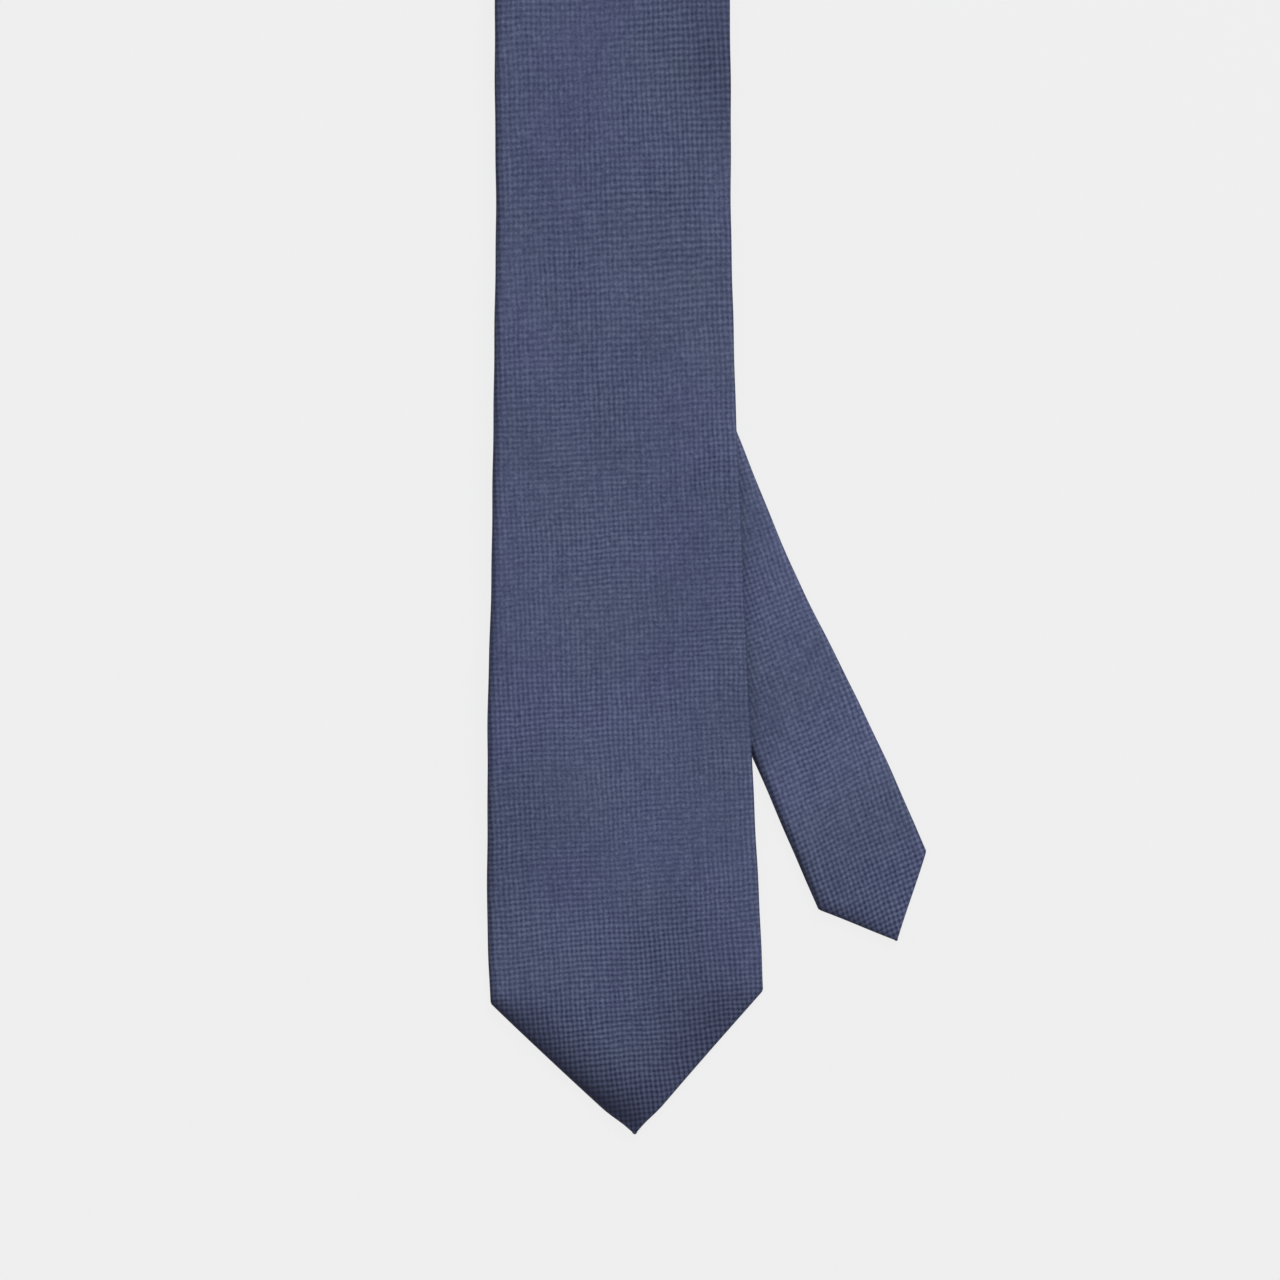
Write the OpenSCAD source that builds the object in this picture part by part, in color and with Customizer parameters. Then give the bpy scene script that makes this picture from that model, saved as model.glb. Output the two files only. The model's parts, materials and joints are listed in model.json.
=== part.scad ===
// A woven silk necktie lying face up, with its neck folded twice on the diagonal.
// The blade lies over the tail. Y runs from the blade's tip to the neck, and Z is up.
// Each stretch is a flat sleeve of silk round a wool interlining, sewn up the back.

/* [Blade] */
// Width across the shoulders, where the point starts
blade_width = 80; // [60:0.5:100]
// Width above the taper of the lower blade
blade_middle_width = 68.4; // [50:0.1:90]
// Height of the blade's point
blade_point = 41.3; // [25:0.1:50]
// Length from the blade's tip to the front fold
blade_length = 735; // [600:1:800]
// Sideways sweep of the blade's centre line over its lower end
blade_sweep = 7.1; // [0:0.1:20]

/* [Tail] */
// Width across the tail's shoulders
tail_end_width = 36; // [28:0.5:50]
// Width of the tail where it goes under the blade
tail_width = 35; // [28:0.5:50]
// Height of the tail's point
tail_point = 18.8; // [12:0.1:30]
// Place of the tail's tip beside and above the blade's tip
tail_tip = [76.3, 57]; // [0:0.1:200]
// Lean of the tail's free end
tail_lean = 23.5; // [0:0.5:40]
// Lean of the tail's hidden upper stretch
tail_upper_lean = 6.1; // [0:0.1:12]
// Radius of the gentle turn between the two leans
tail_turn_radius = 384; // [250:1:600]
// Length of the straight lower stretch
tail_straight = 156; // [80:1:250]

/* [Neck] */
// Width of the neck
neck_width = 36; // [28:0.5:50]
// Distance from the front fold to the front join
front_join = 75; // [50:1:150]
// Distance from the rear fold to the rear join
rear_join = 140; // [60:1:200]

/* [Cloth] */
// Thickness of the pressed tie
tie_thickness = 2.5; // [1.5:0.1:4]
// Thickness of each silk wall
silk = 0.4; // [0.3:0.05:0.6]
// Width of silk turned in along each long edge
edge_wall = 1; // [0.6:0.1:2]
// Gap between the two layers at a fold
fold_gap = 0.6; // [0.4:0.1:2]
// Height of the blade's underside where it lies over the tail
blade_lift = 4.2; // [3.8:0.1:8]
// Opening between the turned edges at the centre back
back_opening = 1.5; // [0.8:0.1:3]
// Gap at each seam and between moving bodies
seam_gap = 0.3; // [0.2:0.05:0.5]

/* [Moving parts] */
// Distance from the blade's tip to its bend
blade_bend = 190; // [150:1:230]
// Distance from the tail's tip to its bend
tail_bend = 54; // [46:1:58]
// Length of cloth that curves at each bend
bend_length = 10; // [6:1:14]
// Length of cloth that shears where the tail swings
swing_length = 50; // [40:1:60]

/* [Back details] */
// Distance from the blade's tip to the centre of the keeper loop
keeper_place = 250; // [220:1:280]
// Length of the keeper loop across the blade
keeper_length = 56; // [45:1:60]
// Width of the keeper loop
keeper_width = 12; // [8:0.5:16]
// Thickness of the keeper loop
keeper_thickness = 0.6; // [0.4:0.1:0.8]
// Size of the blank care label
label_size = [28, 17, 0.3]; // [0.2:0.1:40]
// Distance from the blade's tip to the centre of the label
label_place = 225; // [205:1:235]
// Distance from the blade's tip to its bar tack
blade_tack_place = 117; // [100:1:130]
// Distance from the tail's tip to its bar tack
tail_tack_place = 41; // [38:1:42]
// Size of a bar tack
tack_size = [7, 1.6, 0.35]; // [0.2:0.05:10]
// Spacing of the slip stitches
slip_pitch = 14; // [8:1:25]
// Spacing of the stitches in a diagonal join
join_pitch = 4; // [2:0.5:8]
// Radius of the sewing thread
thread_radius = 0.14; // [0.08:0.01:0.2]

/* [Hidden] */
flat_fit = 0.05;
tipping_floor = silk + flat_fit;
tipping_top = tipping_floor + 0.3;
lining_floor = 0.8;
lining_top = tie_thickness - silk - flat_fit;
lining_inset = edge_wall + 1;
step_up = tie_thickness + fold_gap;
neck_level = step_up;
leg_level = 2 * step_up;
ring_inner = fold_gap / 2;
ring_outer = ring_inner + tie_thickness;
rear_fold_z = tie_thickness + fold_gap / 2;
front_fold_z = rear_fold_z + step_up;
fold_y = blade_length;

// The blade rests on its tip, rises over the tail, and rises again to the front fold.
droop_start = 40;
droop_end = 130;
ramp_start = 650;
ramp_end = 708;
sweep_length = 100;
lower_taper = 250;
upper_taper_start = 270;
upper_taper = 380;

turn_length = tail_turn_radius * (tail_lean - tail_upper_lean) * PI / 180;
turn_end = tail_straight + turn_length;
swing_place = tail_straight + turn_length / 2;
swing_low = swing_place - swing_length / 2;
swing_high = swing_place + swing_length / 2;
tail_length = turn_end + (fold_y - tail_mid(turn_end)[1]) / cos(tail_upper_lean);
front_fold = [blade_mid(fold_y)[0], fold_y];
rear_fold = tail_mid(tail_length);
front_fold_angle = -45;
rear_fold_angle = (90 + tail_upper_lean) / 2;
front_join_middle = [front_fold[0], fold_y - front_join];
rear_join_middle = tail_mid(tail_length - rear_join);
rear_join_angle = 45 + tail_upper_lean;
spare = 30;
keeper_low = blade_lift - 1.3;
keeper_pad = 5;
keeper_rise = 5;
join_steps = [for (i = [-5:5]) if (i != 0) i * join_pitch];
wall_middles = [silk / 2, tie_thickness - silk / 2];

// The origin is the middle of the whole tie's footprint, on the surface it lies on.
right_reach = tail_edge(tail_point, 1, 0)[0];
left_reach = rear_fold[0] - 0.46 * neck_width;
top_reach = fold_y + neck_width / 2;
footprint_middle = [(left_reach + right_reach) / 2, top_reach / 2];

cloth = [0.26, 0.28, 0.4];
wool = [0.85, 0.82, 0.74];
satin = [0.12, 0.14, 0.24];
thread = [0.1, 0.11, 0.2];
paper = [0.8, 0.8, 0.78];

// Shapes of the two legs

function across(lean) = [cos(lean), sin(lean)];
function ease(t) = let (c = min(max(t, 0), 1)) c * c * (3 - 2 * c);

function blade_mid(y) = [-blade_sweep * (1 - exp(-y / sweep_length)), y];
function blade_lean(y) = atan(blade_sweep / sweep_length * exp(-y / sweep_length));
function blade_half(y) = y < blade_point
    ? blade_width / 2 * y / blade_point
    : (blade_width
        - (blade_width - blade_middle_width) * ease((y - blade_point) / lower_taper)
        - (blade_middle_width - neck_width)
            * ease((y - blade_point - upper_taper_start) / upper_taper)) / 2;
function blade_edge(y, side, inset) =
    blade_mid(y) + side * (blade_half(y) - inset) * across(blade_lean(y));
function blade_bottom(y) = blade_lift * ease((y - droop_start) / (droop_end - droop_start))
    + (leg_level - blade_lift) * ease((y - ramp_start) / (ramp_end - ramp_start));

function up_from_tail(s, lean) = s * [-sin(lean), cos(lean)];
function tail_lean_at(s) = s < tail_straight ? tail_lean
    : s > turn_end ? tail_upper_lean
    : tail_lean - (s - tail_straight) / tail_turn_radius * 180 / PI;
function tail_mid(s) = s < tail_straight ? tail_tip + up_from_tail(s, tail_lean)
    : s > turn_end ? tail_mid(turn_end) + up_from_tail(s - turn_end, tail_upper_lean)
    : let (turn = tail_lean - tail_lean_at(s))
        tail_tip + up_from_tail(tail_straight, tail_lean)
        + up_from_tail(2 * tail_turn_radius * sin(turn / 2), tail_lean - turn / 2);
function tail_half(s) = s < tail_point
    ? tail_end_width / 2 * s / tail_point
    : (tail_width + (tail_end_width - tail_width) * ease(1 - (s - tail_point) / 90)
        + (neck_width - tail_width) * ease((s - tail_straight) / 200)) / 2;
function tail_edge(s, side, inset) =
    tail_mid(s) + side * (tail_half(s) - inset) * across(tail_lean_at(s));

// An inset keeps its distance from the slanting edges of a point too.
function point_start(half, point, inset) = inset * sqrt(half * half + point * point) / half;
function stations(low, high, steps) = [for (i = [0:steps]) low + (high - low) * i / steps];
function round_trip(out, back) = concat(out, [for (i = [len(back) - 1:-1:0]) back[i]]);

module blade_band(low, high, steps, inset = 0) {
    ys = stations(low, high, steps);
    polygon(round_trip(
        [for (y = ys) blade_edge(y, 1, inset)],
        [for (y = ys) blade_edge(y, -1, inset)]));
}

module blade_tip_band(high, steps, inset = 0) {
    half = blade_width / 2;
    start = point_start(half, blade_point, inset);
    shoulder = start + (half - inset) * blade_point / half;
    ys = stations(shoulder, high, steps);
    polygon(round_trip(
        concat([blade_mid(start)], [for (y = ys) blade_edge(y, 1, inset)]),
        [for (y = ys) blade_edge(y, -1, inset)]));
}

module tail_band(low, high, steps, inset = 0) {
    ss = stations(low, high, steps);
    polygon(round_trip(
        [for (s = ss) tail_edge(s, 1, inset)],
        [for (s = ss) tail_edge(s, -1, inset)]));
}

module tail_tip_band(high, steps, inset = 0) {
    half = tail_end_width / 2;
    start = point_start(half, tail_point, inset);
    shoulder = start + (half - inset) * tail_point / half;
    ss = stations(shoulder, high, steps);
    polygon(round_trip(
        concat([tail_mid(start)], [for (s = ss) tail_edge(s, 1, inset)]),
        [for (s = ss) tail_edge(s, -1, inset)]));
}

// Keeps what lies on the near side of a line through a point.
module near_side(centre, angle, gap = 0)
    intersection() {
        children();
        translate(centre) rotate(angle) translate([-1000, -1000 - gap]) square([2000, 1000]);
    }

module far_side(centre, angle, gap = 0)
    intersection() {
        children();
        translate(centre) rotate(angle) translate([-1000, gap]) square([2000, 1000]);
    }

// Bends a flat outline to the blade's height: the part between two depths of the cloth.
module blade_layer(floor_z, top_z)
    intersection() {
        translate([0, 0, -1]) linear_extrude(leg_level + tie_thickness + 2) children();
        rotate([90, 0, 90]) linear_extrude(400, center = true) blade_side(floor_z, top_z);
    }

module blade_side(floor_z, top_z) {
    ys = concat([-spare, droop_start], stations(droop_start + 10, droop_end, 8),
        stations(ramp_start, ramp_end, 6), [fold_y + spare]);
    polygon(round_trip(
        [for (y = ys) [y, blade_bottom(y) + floor_z]],
        [for (y = ys) [y, blade_bottom(y) + top_z]]));
}

module tail_layer(floor_z, top_z)
    translate([0, 0, floor_z]) linear_extrude(top_z - floor_z) children();

module lay(shade)
    color(shade) translate([-footprint_middle[0], -footprint_middle[1], 0]) children();

// Outlines of each stretch

module below_front_join() near_side(front_join_middle, 45, seam_gap / 2) children();
module above_front_join() far_side(front_join_middle, 45, seam_gap / 2) children();
module below_rear_join() near_side(rear_join_middle, rear_join_angle, seam_gap / 2) children();
module above_rear_join() far_side(rear_join_middle, rear_join_angle, seam_gap / 2) children();
module to_front_fold() near_side(front_fold, front_fold_angle, seam_gap) children();
module to_rear_fold() near_side(rear_fold, rear_fold_angle, seam_gap) children();

module neck_strip(width)
    translate([rear_fold[0] - spare, fold_y - width / 2])
        square([front_fold[0] - rear_fold[0] + 2 * spare, width]);

module neck_outline(inset = 0)
    to_front_fold() to_rear_fold() neck_strip(neck_width - 2 * inset);

// The four-sided cap left where two stretches of one width cross at a fold
module fold_cap(centre, leg_lean, inset = 0)
    intersection() {
        square_at(centre, leg_lean, inset);
        square_at(centre, 90, inset);
    }

module square_at(centre, lean, inset)
    translate(centre) rotate(lean) square([neck_width - 2 * inset, 4 * neck_width], center = true);

// Half a tube round a fold's axis, cut to the outline that is its child
module fold_ring(centre, angle, height, inner, outer)
    intersection() {
        linear_extrude(leg_level + tie_thickness + spare) children();
        translate([centre[0], centre[1], height]) rotate([90, 0, angle + 90])
            linear_extrude(4 * neck_width, center = true)
                intersection() {
                    difference() {
                        circle(outer, $fn = 40);
                        circle(inner, $fn = 24);
                    }
                    translate([0, -outer]) square([outer, 2 * outer]);
                }
    }

module fold_shell(centre, angle, leg_lean, height)
    difference() {
        fold_ring(centre, angle, height, ring_inner, ring_outer) fold_cap(centre, leg_lean);
        fold_ring(centre, angle, height, ring_inner + silk, ring_outer - silk)
            fold_cap(centre, leg_lean, edge_wall);
    }

// The back of the cloth is inside the front fold, and outside the rear one.
module fold_lining(centre, angle, leg_lean, height, inner)
    fold_ring(centre, angle, height, inner, inner + lining_top - lining_floor)
        fold_cap(centre, leg_lean, lining_inset);

// Sleeves

module blade_back_opening(low, high, steps)
    blade_layer(-1, silk + flat_fit) {
        ys = stations(low, high, steps);
        u = back_opening / 2;
        polygon(round_trip(
            [for (y = ys) blade_mid(y) + [u, 0]],
            [for (y = ys) blade_mid(y) - [u, 0]]));
    }

module tail_back_opening(low, high, steps)
    tail_layer(-1, silk + flat_fit) {
        ss = stations(low, high, steps);
        u = back_opening / 2;
        polygon(round_trip(
            [for (s = ss) tail_mid(s) + u * across(tail_lean_at(s))],
            [for (s = ss) tail_mid(s) - u * across(tail_lean_at(s))]));
    }

module blade_end_shell()
    lay(cloth) difference() {
        blade_layer(0, tie_thickness) blade_tip_band(blade_bend - bend_length, 9);
        blade_layer(silk, tie_thickness - silk)
            blade_tip_band(blade_bend - bend_length + 1, 6, edge_wall);
        blade_back_opening(blade_tack_place - 3, blade_bend, 3);
        blade_layer(-1, silk + flat_fit) blade_window();
    }

// Where the turned edges part, the lining behind them shows.
module blade_window() {
    hem = 14;
    corner = [31, 45];
    polygon([
        blade_mid(hem),
        [blade_mid(corner[1])[0] + corner[0], corner[1]],
        blade_mid(blade_tack_place - 2),
        [blade_mid(corner[1])[0] - corner[0], corner[1]]]);
}

module tail_window() {
    hem = 10;
    corner = [9, 19];
    polygon([
        tail_mid(hem),
        tail_mid(corner[1]) + corner[0] * across(tail_lean),
        tail_mid(tail_tack_place - 1),
        tail_mid(corner[1]) - corner[0] * across(tail_lean)]);
}

module blade_bend_shell()
    lay(cloth) difference() {
        blade_layer(0, tie_thickness)
            blade_band(blade_bend - bend_length + seam_gap, blade_bend, 1);
        blade_layer(silk, tie_thickness - silk)
            blade_band(blade_bend - bend_length - 1, blade_bend + 1, 1, edge_wall);
        blade_back_opening(blade_bend - bend_length - 1, blade_bend + 1, 1);
    }

module blade_sleeve()
    difference() {
        blade_layer(0, tie_thickness) children(0);
        blade_layer(silk, tie_thickness - silk) children(1);
        blade_back_opening(blade_bend - 1, fold_y + spare, 10);
    }

module blade_shell()
    lay(cloth) blade_sleeve() {
        below_front_join() blade_band(blade_bend, fold_y, 26);
        blade_band(blade_bend - 1, fold_y + spare, 20, edge_wall);
    }

module neck_front_shell()
    lay(cloth) blade_sleeve() {
        to_front_fold() above_front_join() blade_band(fold_y - 2 * front_join, fold_y + spare, 6);
        blade_band(fold_y - 2 * front_join, fold_y + spare, 6, edge_wall);
    }

module front_fold_shell()
    lay(cloth) fold_shell(front_fold, front_fold_angle, 0, front_fold_z);

module neck_shell()
    lay(cloth) translate([0, 0, neck_level]) difference() {
        linear_extrude(tie_thickness) neck_outline();
        translate([0, 0, silk]) linear_extrude(tie_thickness - 2 * silk)
            neck_strip(neck_width - 2 * edge_wall);
        translate([0, 0, tie_thickness - silk - flat_fit]) linear_extrude(1)
            neck_strip(back_opening);
    }

module rear_fold_shell()
    lay(cloth) fold_shell(rear_fold, rear_fold_angle, tail_upper_lean, rear_fold_z);

module tail_sleeve()
    difference() {
        tail_layer(0, tie_thickness) children(0);
        tail_layer(silk, tie_thickness - silk) children(1);
        children(2);
    }

module neck_rear_shell()
    lay(cloth) tail_sleeve() {
        to_rear_fold() above_rear_join()
            tail_band(tail_length - rear_join - spare, tail_length + spare, 4);
        tail_band(tail_length - rear_join - spare, tail_length + spare, 4, edge_wall);
        tail_back_opening(tail_length - rear_join - spare, tail_length + spare, 1);
    }

module tail_shell()
    lay(cloth) tail_sleeve() {
        below_rear_join() tail_band(swing_high, tail_length - rear_join + spare, 12);
        tail_band(swing_high - 1, tail_length - rear_join + 2 * spare, 12, edge_wall);
        tail_back_opening(swing_high - 1, tail_length, 24);
    }

module tail_swing_shell()
    lay(cloth) tail_sleeve() {
        tail_band(swing_low + seam_gap, swing_high, 4);
        tail_band(swing_low - 1, swing_high + 1, 4, edge_wall);
        tail_back_opening(swing_low - 1, swing_high + 1, 4);
    }

module tail_lower_shell()
    lay(cloth) tail_sleeve() {
        tail_band(tail_bend, swing_low, 8);
        tail_band(tail_bend - 1, swing_low + 1, 8, edge_wall);
        tail_back_opening(tail_bend - 1, swing_low + 1, 8);
    }

module tail_bend_shell()
    lay(cloth) tail_sleeve() {
        tail_band(tail_bend - bend_length + seam_gap, tail_bend, 1);
        tail_band(tail_bend - bend_length - 1, tail_bend + 1, 1, edge_wall);
        tail_back_opening(tail_bend - bend_length - 1, tail_bend + 1, 1);
    }

module tail_end_shell()
    lay(cloth) difference() {
        tail_layer(0, tie_thickness) tail_tip_band(tail_bend - bend_length, 2);
        tail_layer(silk, tie_thickness - silk) tail_tip_band(tail_bend - bend_length + 1, 2, edge_wall);
        tail_layer(-1, silk + flat_fit) tail_window();
        tail_back_opening(tail_tack_place, tail_bend, 1);
        tail_tack(0.2, 1);
    }

// Interlining

module blade_lining()
    blade_layer(lining_floor, lining_top) children();

module tail_lining()
    tail_layer(lining_floor, lining_top) children();

module blade_end_interlining()
    lay(wool) blade_lining() blade_tip_band(blade_bend - bend_length, 6, lining_inset + 1);

module blade_bend_interlining()
    lay(wool) blade_lining()
        blade_band(blade_bend - bend_length + seam_gap, blade_bend, 1, lining_inset);

module blade_interlining()
    lay(wool) blade_lining() to_front_fold() blade_band(blade_bend, fold_y + spare, 20, lining_inset);

module front_fold_interlining()
    lay(wool) fold_lining(front_fold, front_fold_angle, 0, front_fold_z, ring_inner + lining_floor);

module neck_interlining()
    lay(wool) translate([0, 0, neck_level + tie_thickness - lining_top])
        linear_extrude(lining_top - lining_floor) neck_outline(lining_inset);

module rear_fold_interlining()
    lay(wool) fold_lining(rear_fold, rear_fold_angle, tail_upper_lean, rear_fold_z,
        ring_outer - lining_top);

module tail_interlining()
    lay(wool) tail_lining() to_rear_fold() tail_band(swing_high, tail_length + spare, 14, lining_inset);

module tail_swing_interlining()
    lay(wool) tail_lining() tail_band(swing_low + seam_gap, swing_high, 4, lining_inset);

module tail_lower_interlining()
    lay(wool) tail_lining() tail_band(tail_bend, swing_low, 8, lining_inset);

module tail_bend_interlining()
    lay(wool) tail_lining()
        tail_band(tail_bend - bend_length + seam_gap, tail_bend, 1, lining_inset);

module tail_end_interlining()
    lay(wool) tail_lining() tail_tip_band(tail_bend - bend_length, 2, lining_inset + 1);

// Tipping: the lining sewn behind each point

module blade_tipping()
    lay(satin) blade_layer(tipping_floor, tipping_top) blade_tip_band(136, 5, lining_inset);

module tail_tipping()
    lay(satin) tail_layer(tipping_floor, tipping_top)
        tail_tip_band(tail_bend - bend_length - 0.5, 1, lining_inset);

// Stitching

// A slip stitch lies across the back opening, flush with the cloth.
module slip_stitch(length = back_opening)
    rotate([0, 90, 0]) cylinder(length - 2 * flat_fit, r = thread_radius, center = true, $fn = 6);

module blade_slips(low, high)
    for (y = [low:slip_pitch:high])
        translate([blade_mid(y)[0], y, blade_bottom(y) + silk / 2]) slip_stitch();

module tail_slips(low, high)
    for (s = [low:slip_pitch:high])
        translate([tail_mid(s)[0], tail_mid(s)[1], silk / 2]) rotate(tail_lean_at(s))
            slip_stitch(back_opening - 4 * flat_fit);

module blade_end_stitches()
    lay(thread) blade_slips(blade_tack_place + 6, blade_bend - bend_length - 4);

module blade_stitches()
    lay(thread) blade_slips(blade_bend + 6, fold_y - neck_width);

module neck_stitches()
    lay(thread)
        for (x = [rear_fold[0] + 8:slip_pitch / 2:front_fold[0] - 6])
            translate([x, fold_y, neck_level + tie_thickness - silk / 2]) rotate(90) slip_stitch();

module tail_stitches()
    lay(thread) tail_slips(swing_high + 6, tail_length - neck_width);

module tail_lower_stitches()
    lay(thread) tail_slips(tail_bend + 6, swing_low - 4);

// Machine stitches cross the gap of a diagonal join, in both silk walls.

module front_join_stitches()
    lay(thread)
        for (step = join_steps, depth = wall_middles) {
            place = front_join_middle + step * across(45);
            translate([place[0], place[1], blade_bottom(place[1]) + depth])
                rotate(135) slip_stitch(seam_gap);
        }

module rear_join_stitches()
    lay(thread)
        for (step = join_steps, depth = wall_middles)
            translate([rear_join_middle[0], rear_join_middle[1], depth])
                rotate(rear_join_angle) translate([step, 0, 0]) rotate(90) slip_stitch(seam_gap);

module blade_bar_tack()
    lay(thread) translate([blade_mid(blade_tack_place)[0], blade_tack_place,
            blade_bottom(blade_tack_place - tack_size[1]) - tack_size[2]])
        tack(tack_size);

// The tail's tack is sunk into a pocket, because the tail lies on the table.
module tail_tack(grow, extra)
    translate([tail_mid(tail_tack_place)[0], tail_mid(tail_tack_place)[1], flat_fit - extra])
        rotate(tail_lean)
            tack([tack_size[0] + 2 * grow, tack_size[1] + 2 * grow, tack_size[2] + extra + grow / 4]);

module tail_bar_tack()
    lay(thread) tail_tack(0, 0);

module tack(size)
    linear_extrude(size[2]) {
        square([size[0] - size[1], size[1]], center = true);
        for (side = [-1, 1])
            translate([side * (size[0] - size[1]) / 2, 0]) circle(size[1] / 2, $fn = 16);
    }

// Keeper loop and label

module keeper_loop()
    lay(cloth) translate([blade_mid(keeper_place)[0], keeper_place + keeper_width / 2, 0])
        rotate([90, 0, 0]) linear_extrude(keeper_width) {
            half = keeper_length / 2;
            inner = half - keeper_pad - keeper_rise;
            polygon(round_trip(
                keeper_edge(half, inner, 0), keeper_edge(half, inner, keeper_thickness)));
        }

function keeper_edge(half, inner, up) = let (
        pad = blade_lift - keeper_thickness + up,
        low = keeper_low + up)
    [[-half, pad], [-inner - keeper_rise, pad], [-inner, low],
        [inner, low], [inner + keeper_rise, pad], [half, pad]];

module keeper_tacks()
    lay(thread)
        for (side = [-1, 1])
            translate([blade_mid(keeper_place)[0] + side * (keeper_length - keeper_pad) / 2,
                    keeper_place, blade_lift - keeper_thickness - tack_size[2]])
                rotate(90) tack([keeper_width - 3, 1.2, tack_size[2]]);

module care_label()
    lay(paper) translate([blade_mid(label_place)[0], label_place, blade_lift - label_size[2] / 2])
        cube(label_size, center = true);

module label_stitches()
    lay(thread)
        for (side = [-1, 1])
            for (i = [-3:3])
                translate([blade_mid(label_place)[0] + i * 3.6,
                        label_place + side * (label_size[1] / 2 - 1.5),
                        blade_lift - label_size[2] - thread_radius])
                    slip_stitch(2);

blade_end_shell();
blade_bend_shell();
blade_shell();
neck_front_shell();
front_fold_shell();
neck_shell();
rear_fold_shell();
neck_rear_shell();
tail_shell();
tail_swing_shell();
tail_lower_shell();
tail_bend_shell();
tail_end_shell();
blade_end_interlining();
blade_bend_interlining();
blade_interlining();
front_fold_interlining();
neck_interlining();
rear_fold_interlining();
tail_interlining();
tail_swing_interlining();
tail_lower_interlining();
tail_bend_interlining();
tail_end_interlining();
blade_tipping();
tail_tipping();
blade_end_stitches();
blade_stitches();
neck_stitches();
tail_stitches();
tail_lower_stitches();
front_join_stitches();
rear_join_stitches();
blade_bar_tack();
tail_bar_tack();
keeper_loop();
keeper_tacks();
care_label();
label_stitches();
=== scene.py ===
"""A woven navy necktie lying face up, with its neck folded twice, for Blender 4.5.

The tie is made as two long strips, the blade and the tail, and each runs on over one neck fold. A
point of a strip has three coordinates in millimetres: w across it, measured the same way along the
whole tie, y or s along it from its tip, and n from its mid-plane towards its front.
place_on_blade() and place_on_tail() lay such points out in the frame, round the folds too, so
neighbouring panels of cloth meet exactly.
"""

import json
import math

import bpy
import numpy as np
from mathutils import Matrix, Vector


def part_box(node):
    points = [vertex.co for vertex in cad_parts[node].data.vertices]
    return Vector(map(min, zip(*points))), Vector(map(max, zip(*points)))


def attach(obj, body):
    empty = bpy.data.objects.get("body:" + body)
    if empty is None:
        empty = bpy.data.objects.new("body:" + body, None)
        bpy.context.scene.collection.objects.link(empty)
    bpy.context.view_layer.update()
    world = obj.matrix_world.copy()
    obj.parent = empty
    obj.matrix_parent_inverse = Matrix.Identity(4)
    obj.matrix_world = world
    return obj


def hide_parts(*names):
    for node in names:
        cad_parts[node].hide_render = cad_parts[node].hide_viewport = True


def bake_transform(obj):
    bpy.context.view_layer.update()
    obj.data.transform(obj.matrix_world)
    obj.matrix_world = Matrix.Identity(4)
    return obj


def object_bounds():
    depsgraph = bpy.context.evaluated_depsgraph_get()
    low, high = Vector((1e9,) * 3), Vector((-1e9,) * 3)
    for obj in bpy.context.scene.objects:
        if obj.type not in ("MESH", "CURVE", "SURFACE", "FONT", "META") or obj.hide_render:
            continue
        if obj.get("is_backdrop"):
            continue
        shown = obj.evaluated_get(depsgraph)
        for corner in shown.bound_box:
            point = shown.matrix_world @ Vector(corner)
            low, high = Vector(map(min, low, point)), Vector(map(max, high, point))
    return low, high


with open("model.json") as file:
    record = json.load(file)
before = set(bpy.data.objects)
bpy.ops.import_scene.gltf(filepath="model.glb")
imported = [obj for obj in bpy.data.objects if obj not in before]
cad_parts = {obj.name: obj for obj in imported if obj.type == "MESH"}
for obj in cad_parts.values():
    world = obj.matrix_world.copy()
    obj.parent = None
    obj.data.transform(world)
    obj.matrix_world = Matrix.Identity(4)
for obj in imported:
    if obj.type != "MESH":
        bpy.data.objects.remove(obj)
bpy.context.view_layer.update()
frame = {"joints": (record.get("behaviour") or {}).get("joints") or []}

MM = 0.001
JOINTS = {joint["name"]: joint for joint in frame["joints"]}


def joint_place(name):
    return np.array(JOINTS[name]["pos_m"], float) / MM


def joint_heading(name):
    """The angle of a joint's axis in plan, in radians, from 0 to a half turn."""
    x, y, _ = JOINTS[name]["axis"]
    return math.atan2(y, x) % math.pi


# The pressed tie's thickness, and its layers' places between the two faces of silk
THICK = 2.5
SILK = 0.36
LAP = 3.0
LAP_LIFT = 0.37
WOOL_INSET, WOOL_BOTTOM, WOOL_TOP = 2.6, -0.42, 0.78
SATIN_INSET, SATIN_BOTTOM, SATIN_TOP = 2.1, -0.76, -0.52

# The weave's cells: how wide, and how long below and above the place where they change
CELL, CELL_LONG, CELL_LONGER = 1.43, 1.52, 1.9
WEAVE_CHANGE = 218.0

# The neck, its two folds, and how far each diagonal join is from its fold
NECK_HALF = 18.0
FRONT_JOIN, REAR_JOIN = 75.0, 140.0
FOLD_RADIUS = 1.55
FRONT_FOLD = joint_place("front_neck_fold")
REAR_FOLD = joint_place("rear_neck_fold")
FRONT_HEADING = joint_heading("front_neck_fold")
REAR_HEADING = joint_heading("rear_neck_fold")
SEAM_PAST_FOLD = 3.0

# The blade: its outline, how far its underside is off the table, and places up it from its tip
BLADE_TIP_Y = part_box("blade_end_shell")[0].y / MM
BLADE_LENGTH = FRONT_FOLD[1] - BLADE_TIP_Y
BLADE_HALF = 40.0
BLADE_MIDDLE_HALF = 34.5
BLADE_POINT = 41.3
BLADE_SWEEP = 7.1
SWEEP_LENGTH = 100.0
BLADE_LIFT = 4.2
NECK_LIFT = 6.2
BLADE_TACK = 117.0
BLADE_BEND = 190.0
BLADE_JOIN = BLADE_LENGTH - FRONT_JOIN

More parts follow.
